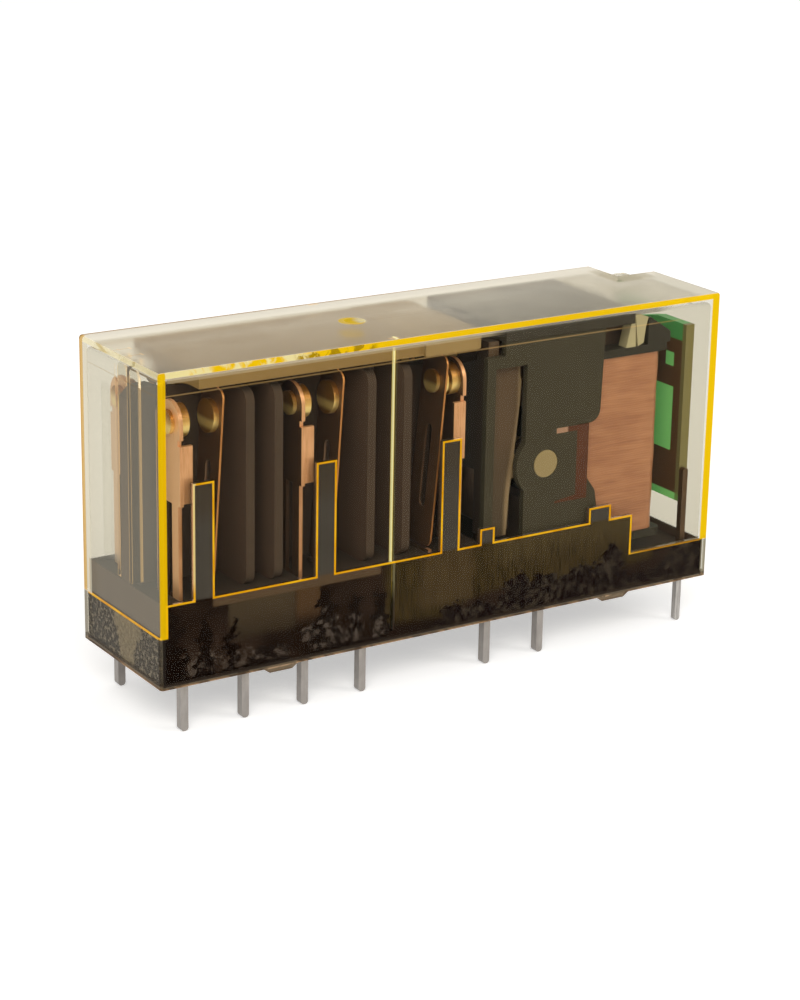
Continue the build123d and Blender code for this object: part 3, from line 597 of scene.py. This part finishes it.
# long sides: dark ground, a smooth olive patch, a brown stripe, and a brown band under the step
wide = rise(cloud(shell.place, 0.22), 0.35, 0.65)
ground = blend_colour(wide, (0.008, 0.003, 0.001), (0.022, 0.012, 0.008))
patch = within(along, 6.0, 11.1, 0.5) & rise(high + lumps, 2.2, 3.2)
patch_tone = blend_colour(rise(high, 2.2, 5.5), (0.03, 0.02, 0.012), (0.062, 0.046, 0.03))
side_tone = blend_colour(patch, ground, patch_tone)
stripe = within(along, 11.6, 13.3, 0.4) & rise(high, 2.5, 4.5)
side_tone = blend_colour(stripe, side_tone, (0.08, 0.046, 0.024))
under_step = within(along, 4.6, 18.6, 0.3) & rise(high, 5.5, 5.7)
side_tone = blend_colour(under_step, side_tone, (0.105, 0.07, 0.046))
# a brushed olive film on the right half, lighter in the middle and browner near the rib
film_low = skyline(bent, ((20.5, 6.0, 1.3), (30.0, 6.0, 2.4), (46.0, 9.0, 2.4)))
film = within(along, 19.7, 44.0, 1.0) & rise(high - film_low, -0.4, 0.5)
film_dark = blend_colour(brush, (0.008, 0.004, 0.0), (0.07, 0.049, 0.018))
film_light = blend_colour(brush, (0.036, 0.027, 0.012), (0.1, 0.075, 0.037))
film_brown = blend_colour(brush, (0.045, 0.03, 0.014), (0.085, 0.06, 0.03))
film_tone = blend_colour(within(along, 31.0, 42.0, 4.0) & rise(high, 3.0, 6.0), film_dark, film_light)
film_tone = blend_colour(within(along, 23.0, 26.5, 1.2) & rise(high, 1.6, 2.6), film_tone, film_brown)
side_tone = blend_colour(film, side_tone, film_tone)
# resin that crept up in thin pointed runs with grey crumbs at their feet, and in crumbled domes
run_peaks = ((1.3, 1.3, 6.4), (3.7, 1.3, 5.4), (6.1, 0.9, 4.6), (9.0, 3.0, 2.0))
run_peaks += ((13.9, 2.0, 5.6), (16.3, 1.1, 4.6), (18.7, 1.1, 4.6))
runs = rise(lumps * 3.0 + skyline(bent, run_peaks, False) - high, 0.0, 0.2)
side_tone = blend_colour(runs, side_tone, (0.004, 0.001, 0.0))
crumb_domes = ((2.6, 0.8, 3.2), (4.6, 1.2, 2.8), (7.3, 1.7, 2.5), (9.8, 1.4, 2.0))
crumb_domes += ((13.8, 1.7, 4.3), (16.4, 1.0, 3.4), (18.6, 0.7, 2.6))
grey_crumb = rise(skyline(bent, crumb_domes) - high, 0.2, 0.6) & rise(high, 0.4, 0.8) & crumb
side_tone = blend_colour(grey_crumb, side_tone, (0.085, 0.068, 0.064))
creep_domes = ((25.2, 1.6, 2.2), (27.6, 2.4, 1.9), (31.4, 1.6, 3.7), (33.9, 2.4, 3.0))
creep_domes += ((37.4, 3.0, 3.1), (40.4, 1.6, 4.3), (44.0, 4.0, 1.5), (48.0, 3.0, 3.3))
blotch = rise(lumps * 2.4 + skyline(bent, creep_domes) - high, 0.0, 0.25)
side_tone = blend_colour(blotch, side_tone, blend_colour(crumb, (0.003, 0.0, 0.0), (0.045, 0.035, 0.028)))
# ends: an olive film in the middle between two speckled blotches
sheet_edge = high * 0.42 + 0.9 - abs(deep - 5.9)
sheet = rise(sheet_edge + lumps * 4.0, 0.0, 0.25)
fine = cloud(shell.place, 3.0, 4.0, 0.75)
end_tone = blend_colour(rise(fine, 0.5, 0.6), (0.05, 0.044, 0.042), (0.32, 0.28, 0.235))
sheet_tone = blend_colour(rise(fine, 0.3, 0.7), (0.17, 0.145, 0.11), (0.34, 0.29, 0.22))
end_tone = blend_colour(sheet, end_tone, sheet_tone)
# inside, painted light and shade by the way a face looks: the broad faces of the walls are browner
# and lighter than their edges, and faces that look up are darker; the tabs are a cooler black
facing_x, _, facing_z = facing(shell.tree)
wall_shading = blend_colour(rise(abs(facing_x), 0.4, 0.8), (0.085, 0.062, 0.05), (0.125, 0.084, 0.066))
wall_shading = blend_colour(rise(facing_z, 0.5, 0.9), wall_shading, (0.06, 0.046, 0.038))
tab_tone = blend_colour(rise(high, 13.5, 11.5), (0.058, 0.048, 0.041), (0.068, 0.063, 0.063))
side_rail = rise(abs(shell.y), 5.92, 5.95)
shell_tone = blend_colour(side_rail, wall_shading, side_tone)
shell_tone = blend_colour(rise(high, 6.3, 6.5) & side_rail, shell_tone, tab_tone)
shell_tone = blend_colour(rise(abs(shell.x), 24.6, 24.64), shell_tone, end_tone)
feed(shell_tone, shell.skin, "Colour")
dress(shell.material, "base")

# Potting resin: poured over the underside of the base, where it seals the pins, and cured dark
# and uneven.
resin = moulded("dark potting resin", (0.03, 0.022, 0.02), 0.8, 0.2, 0.3)
dress(resin.material, "sealing_resin")


# Terminals: strips stamped from copper alloy, folded and held in the base. Their broad faces carry
# painted shade, apart from the left face of the first one at the left end, which is painted lit,
# and the pins below are tinned.

# drawn streaks: fine lines along one direction from rolling or drawing
streak_inputs = (
    ("Place", "NodeSocketVector", None),
    ("Squeeze", "NodeSocketVector", (4.0, 4.0, 0.3)),
    ("Dark", "NodeSocketColor", (0.3, 0.3, 0.3, 1.0)),
    ("Bright", "NodeSocketColor", (0.6, 0.6, 0.6, 1.0)),
)
streaks, streaks_in, streaks_out = group("drawn streaks", streak_inputs, skin_outputs)
drawn = cloud(streaks_in["Place"], 2.0, 4.0, 0.65, streaks_in["Squeeze"])
mixed = drawn * 0.6 + cloud(streaks_in["Place"], 0.4) * 0.4
feed(blend_colour(rise(mixed, 0.3, 0.7), streaks_in["Dark"], streaks_in["Bright"]), streaks_out, "Colour")
feed(drawn * 0.25 + 0.2, streaks_out, "Roughness")
feed(drawn, streaks_out, "Height")


def rolled(name, dark, bright, metallic, squeeze=(4.0, 4.0, 0.3), relief=0.1):
    """A rolled or drawn metal: the streak group between two colours."""
    made = skinned(name, streaks, relief, 0.00002)
    made.shader.inputs["Metallic"].default_value = metallic
    made.skin.inputs["Squeeze"].default_value = squeeze
    made.skin.inputs["Dark"].default_value = (*dark, 1.0)
    made.skin.inputs["Bright"].default_value = (*bright, 1.0)
    feed(made.roughness, made.shader, "Roughness")
    return made


def broad_side(facing_x):
    """1 on the faces that look along the length, 0 on the narrow edges of a strip."""
    return rise(abs(facing_x), 0.5, 0.85)


strip = rolled("copper strip with tinned pins", (0.6, 0.3, 0.14), (0.84, 0.47, 0.26), 0.45)
facing_x, _, _ = facing(strip.tree)
# painted light on the left face of the first strip; painted shade on the broad faces and the lower inner
# edges of the others
lit_first_face = rise(strip.x, -20.5, -21.5) & rise(facing_x, -0.5, -0.85)
inner_edge = rise(abs(strip.y), 4.75, 4.65) & rise(strip.z, 14.2, 13.8)
shaded_faces = (broad_side(facing_x) | inner_edge) & (1.0 - lit_first_face)
shade_tone = blend_colour(cloud(strip.place, 0.5, 3.0, 0.6), (0.07, 0.04, 0.025), (0.15, 0.085, 0.05))
strip_tone = blend_colour(lit_first_face, strip.colour, (0.9, 0.56, 0.33))
strip_tone = blend_colour(shaded_faces, strip_tone, shade_tone)
tin_tone = blend_colour(cloud(strip.place, 1.5, 3.0, 0.6, (1, 1, 0.4)), (0.2, 0.18, 0.165), (0.4, 0.37, 0.34))
feed(blend_colour(rise(strip.z, 0.5, 0.3), strip_tone, tin_tone), strip.shader, "Base Color")
rows = ("front", "back")
pairs = (1, 2, 3)


def of_pairs(*kinds):
    """The names of the nodes of some kinds, in both rows and all pairs."""
    return [f"{kind}_{row}_{pair}" for kind in kinds for row in rows for pair in pairs]


dress(strip.material, *of_pairs("fixed_terminal", "spring_terminal"))

# Contact springs: leaves of copper beryllium, rolled thin, with a slot above the root and a
# tongue that enters the comb. Their broad faces and the edges beside the slot carry painted shade,
# the other cut edges stay bright.
leaf = rolled("rolled spring copper", (0.42, 0.17, 0.045), (0.62, 0.28, 0.08), 0.5)
# painted shade on the broad faces and beside the slot
leaf_shade = blend_colour(cloud(leaf.place, 0.5, 3.0, 0.6), (0.085, 0.047, 0.028), (0.2, 0.11, 0.06))
slot_edge = within(abs(leaf.y), 2.6, 4.7) & rise(leaf.z, 19.6, 19.2)
facing_x, _, _ = facing(leaf.tree)
feed(blend_colour(broad_side(facing_x) | slot_edge, leaf.colour, leaf_shade), leaf.shader, "Base Color")
dress(leaf.material, *of_pairs("contact_spring"))

# Contacts: rivets with a crowned head, silver alloy flashed with gold, set in the strips and the
# springs. Above their middle they carry a painted reflection of the dark ceiling, below it a painted
# glint, and the broad faces of all but the first at the left carry painted shade.
gold = rolled("gold-flashed contact", (0.7, 0.44, 0.13), (0.95, 0.62, 0.2), 0.7, (1.0, 1.0, 1.0))
contact_middle = sum(corner.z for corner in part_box("moving_contact_front_1")) * 500
above_middle = gold.z - contact_middle
# painted reflection above the middle, painted shade on the broad faces right of the first, painted glint
# below the middle
gold_tone = blend_colour(rise(above_middle, -0.2, 0.7), gold.colour, (0.36, 0.17, 0.04))
facing_x, _, _ = facing(gold.tree)
gold_tone = blend_colour(broad_side(facing_x) & rise(gold.x, -22.5, -21.5), gold_tone, (0.34, 0.18, 0.05))
gold_tone = blend_colour(rise(abs(above_middle + 0.45), 0.55, 0.1), gold_tone, (1.0, 0.78, 0.32))
feed(gold_tone, gold.shader, "Base Color")
dress(gold.material, *of_pairs("fixed_contact", "moving_contact"))

# Coil pins: drawn square wire, tinned, which stands in the base at the coil end. Above the tin
# they are brown with flux.
pin = rolled("tinned coil pin", (0.24, 0.22, 0.21), (0.48, 0.46, 0.43), 0.5)
flux = blend_colour(cloud(pin.place, 1.2, 3.0, 0.6), (0.07, 0.04, 0.02), (0.14, 0.085, 0.045))
feed(blend_colour(rise(pin.z, 2.6, 3.4), pin.colour, flux), pin.shader, "Base Color")
dress(pin.material, "coil_pin_front", "coil_pin_back")

# Comb: cream moulding that links the tips of all six springs and slides on the middle wall. The
# wider pad at its right end is a little lighter.
comb = moulded("cream plastic", (0.38, 0.27, 0.13), 0.15, 0.1)
feed(blend_colour(rise(comb.x, -2.4, -2.2), (0.3, 0.2, 0.082), (0.36, 0.255, 0.12)), comb.skin, "Colour")
dress(comb.material, "actuator_comb")

# Armature: an iron plate held by a dark moulded carrier that rocks on its pin. The side panels of
# the carrier are polished brown, with a painted highlight along a leaning line near their edge.
carrier = moulded("dark brown plastic", (0.05, 0.034, 0.026), 0.15, 0.15, 0.03)
panel_side = rise(abs(carrier.y), 4.7, 4.8)
lean = {"Value": carrier.z, "From Min": 7.9, "From Max": 18.7, "To Min": 5.85, "To Max": 6.85}
edge_x = node(carrier.tree, "ShaderNodeMapRange", lean, interpolation_type="SMOOTHERSTEP")
edge_off = carrier.x - Value(edge_x.outputs["Result"])
panel_tone = blend_colour(rise(carrier.z, 8.0, 16.0), (0.085, 0.062, 0.042), (0.115, 0.078, 0.052))
carrier_tone = blend_colour(panel_side, (0.035, 0.025, 0.019), panel_tone)
# painted highlight along the leaning line
painted_edge_highlight = panel_side & rise(abs(edge_off), 0.45, 0.0)
feed(blend_colour(painted_edge_highlight, carrier_tone, (0.3, 0.22, 0.135)), carrier.skin, "Colour")
dress(carrier.material, "rocker")
iron = rolled("polished iron with a brown tint", (0.12, 0.08, 0.055), (0.24, 0.16, 0.11), 0.6)
dress(iron.material, "armature_plate")

# Pivot pin: pale olive moulding on which the carrier rocks. It goes through both cheeks, and its
# ends are flush with them.
pivot = moulded("pale olive plastic", (0.36, 0.29, 0.165), 0.12, 0.1)
dress(pivot.material, "pivot_pin")

# Magnet iron: an upper and a lower yoke and the core inside the coil, all of annealed iron with
# a brown tint.
yoke = rolled("annealed iron", (0.1, 0.07, 0.05), (0.2, 0.14, 0.1), 0.4, (0.3, 4.0, 4.0))
dress(yoke.material, "upper_yoke", "lower_yoke", "core")

# Bearing frame: two dark cheeks that carry the pivot, with a reddish clip beside it whose upper
# tip carries a painted highlight.
cheek = moulded("dark grey plastic", (0.06, 0.054, 0.038), 0.1, 0.05, 0.04)
dress(cheek.material, "bearing_frame")
clip = moulded("brown clip", (0.07, 0.026, 0.016), 0.5, 0.15)
clip_streaks = cloud(clip.place, 0.7, 3.0, 0.6, (1, 1, 0.4))
clip_tone = blend_colour(clip_streaks, (0.07, 0.028, 0.018), (0.15, 0.062, 0.038))
# painted highlight on the upper tip of the clip
tip_highlight = rise(clip.x, 11.1, 10.95) & rise(clip.z, 13.8, 14.0)
feed(blend_colour(tip_highlight, clip_tone, (0.42, 0.26, 0.19)), clip.skin, "Colour")
dress(clip.material, "side_bracket_front", "side_bracket_back")

# Bobbin: black moulding that carries the winding, with a black bar across its top and ivory
# prongs that clamp the bar from both sides.
bobbin = moulded("black bobbin plastic", (0.045, 0.042, 0.034), 0.2, 0.1)
dress(bobbin.material, "coil_bobbin")
bar = moulded("black bar plastic", (0.052, 0.047, 0.038), 0.2, 0.15)
dress(bar.material, "retainer_bar")
ivory = moulded("ivory plastic", (0.5, 0.46, 0.31), 0.2, 0.1)
dress(ivory.material, *[f"clamp_prong_{row}_{number}" for row in rows for number in (1, 2)])


# Winding: enamelled copper wire laid in turns on the bobbin. Each turn shows as a fine ridge,
# and the top layer wanders a little up and down.


def wound_surface(low, high, radius, inner, pitch, around=120, per_turn=6):
    """Rows go up the outside and back down the inside, columns go round. A point lies on a rounded
    rectangle, found by walking its outline by arc length. Grooves take it inwards by their depth
    times one minus the size of the sine of pi times the turn number, which grows by one with each
    pitch of height and each time round, plus two slow waves. The layer also sinks by the slow depth
    times a half plus half the product of two sines of the height and the way round."""
    half = (high - low)[:2] / 2
    centre = (high + low)[:2] / 2
    height = high[2] - low[2]
    ridge_depth, slow_depth, inner_corner = 0.014, 0.06, 0.05
    rows_up = int(round(height / pitch * per_turn))
    v = np.linspace(0, 1, rows_up)[:, None]
    u = np.linspace(0, 1, around, endpoint=False)[None, :]

    def outline(size, corner):
        flat = size - corner
        lengths = np.array([2 * flat[1], np.pi / 2 * corner, 2 * flat[0], np.pi / 2 * corner] * 2)
        ends = np.concatenate(([0], np.cumsum(lengths)))
        walk = u[0] * ends[-1]
        leg = np.clip(np.searchsorted(ends, walk, side="right") - 1, 0, 7)
        part = (walk - ends[leg]) / lengths[leg]
        quarter = leg // 2
        corner_x = np.array([1, -1, -1, 1])[quarter] * flat[0]
        corner_y = np.array([1, 1, -1, -1])[quarter] * flat[1]
        turned = (quarter + np.where(leg % 2 == 1, part, 0)) * np.pi / 2
        x = corner_x + corner * np.cos(turned)
        y = corner_y + corner * np.sin(turned)
        left_to_go = np.where(leg % 2 == 0, (1 - part) * lengths[leg], 0)
        x += np.sin(turned) * left_to_go
        y -= np.cos(turned) * left_to_go
        return x, y, np.cos(turned), np.sin(turned)

    x, y, nx, ny = outline(half, radius)
    waves = 0.35 * np.sin(2 * np.pi * (u * 2 + v * 3.1)) + 0.25 * np.sin(2 * np.pi * (u * 5 - v * 7.3) + 1.0)
    turns = v * height / pitch + u + waves
    ridge = 1 - np.abs(np.sin(np.pi * turns))
    slow = 0.5 + 0.5 * np.sin(2 * np.pi * (3 * v + u)) * np.sin(2 * np.pi * (1.3 * v - 2 * u) + 0.7)
    depth = ridge_depth * ridge + slow_depth * slow
    outer = np.stack((centre[0] + x - nx * depth, centre[1] + y - ny * depth, low[2] + v * height + 0 * u), 2)
    ix, iy, _, _ = outline(inner, inner_corner)
    inside = np.stack((centre[0] + ix, centre[1] + iy), 1)
    top = np.column_stack((inside, np.full(around, high[2])))
    bottom = np.column_stack((inside, np.full(around, low[2])))
    grid = np.concatenate((outer, top[None], bottom[None]))
    total = len(grid)
    r, c = np.meshgrid(np.arange(total), np.arange(around), indexing="ij")
    r2, c2 = (r + 1) % total, (c + 1) % around
    faces = np.stack((r * around + c, r * around + c2, r2 * around + c2, r2 * around + c), 2).reshape(-1, 4)
    return grid.reshape(-1, 3), faces.tolist()


wire_pitch, wire_corner, hollow = 0.2, 0.8, np.array([2.16, 4.01])
wire = rolled("enamelled copper wire", (0.37, 0.16, 0.083), (0.53, 0.25, 0.13), 0.1, (0.12, 0.12, 1.3), 0.08)
feed(blend_colour(rise(wire.x, 20.3, 20.5), wire.colour, (0.1, 0.055, 0.035)), wire.shader, "Base Color")
coil_low, coil_high = (np.array(corner) * 1000 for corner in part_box("coil_winding"))
points, faces = wound_surface(coil_low, coil_high, wire_corner, hollow, wire_pitch)
winding = piece("wound_coil", points, faces, wire.material, smooth=True)
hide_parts("coil_winding")
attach(winding, "housing")

# Tape: a strip of black film, bowed a little, on the left side of the coil in its rear half. It
# darkens the view past the left side of the coil there.


def taped_sheet(x_out, bulge, y_low, y_high, z_low, z_high, thickness, across=16, up=12):
    """A thin closed sheet: its outer face bows to the left by the bulge times one minus the square of
    the place between the two long edges, and its inner face lies one thickness behind."""
    v, u = np.meshgrid(np.linspace(0, 1, up), np.linspace(-1, 1, across), indexing="ij")
    y = (y_low + y_high) / 2 + u * (y_high - y_low) / 2
    z = z_low + v * (z_high - z_low)
    outer = np.stack((x_out - bulge * (1 - u**2), y, z), 2).reshape(-1, 3)
    inner = outer + (thickness, 0, 0)
    r, c = np.meshgrid(np.arange(up - 1), np.arange(across - 1), indexing="ij")
    first = (r * across + c).ravel()
    face = np.stack((first, first + 1, first + across + 1, first + across), 1)
    total = up * across
    # the border, once round: first row, right side, last row backwards, left side downwards
    border = (np.arange(across), np.arange(2, up) * across - 1)
    border += (np.arange(total - 1, total - across - 1, -1), np.arange(up - 2, 0, -1) * across)
    border = np.concatenate(border)
    after = np.roll(border, -1)
    wall = np.stack((border, after, after + total, border + total), 1)
    return np.vstack((outer, inner)), np.vstack((face, face + total, wall)).tolist()


tape_black = moulded("black insulating film", (0.03, 0.026, 0.022), 0.3, 0.2, 0.05, 0.3)
points, faces = taped_sheet(
    x_out=12.9, bulge=0.1, y_low=0.6, y_high=4.7, z_low=6.6, z_high=17.4, thickness=0.05
)
tape = piece("coil_tape", points, faces, tape_black.material, smooth=True)
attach(tape, "housing")

# Circuit board: laminate with green mask, upright at the right end. Brown copper planes show
# between the green patches, and the lower patches carry a painted glow, as if lit through from behind.
board_green, laminate, board_shader = new_material("green masked laminate")
spot, _, spot_y, spot_z = millimetres(laminate)
large = within(spot_y, -3.5, -1.0) & within(spot_z, 10.65, 15.95)
small = within(spot_y, -3.4, -2.4) & within(spot_z, 17.65, 18.75)
strips = rise(spot_z, 7.3, 7.2) | rise(spot_z, 19.9, 20.0)
green = large | small | strips
mask_green = blend_colour(rise(spot_z, 19.0, 19.6), (0.42, 0.96, 0.36), (0.1, 0.46, 0.14))
board_tone = blend_colour(green, (0.13, 0.06, 0.022), mask_green)
board_tone = blend_colour(rise(abs(spot_y), 4.3, 4.45), board_tone, (0.24, 0.22, 0.09))
weave = cloud(spot, 6.0)
feed(blend_colour(weave * 0.3, board_tone, (0.03, 0.03, 0.02)), board_shader, "Base Color")
feed(weave * 0.2 + 0.25, board_shader, "Roughness")
# painted glow on the lower green patches
painted_glow_through = blend_colour(green & rise(spot_z, 19.6, 19.0), (0.0, 0.0, 0.0), (0.0, 0.1, 0.02))
feed(painted_glow_through, board_shader, "Emission Color")
board_shader.inputs["Emission Strength"].default_value = 1.0
dress(board_green, "circuit_board")
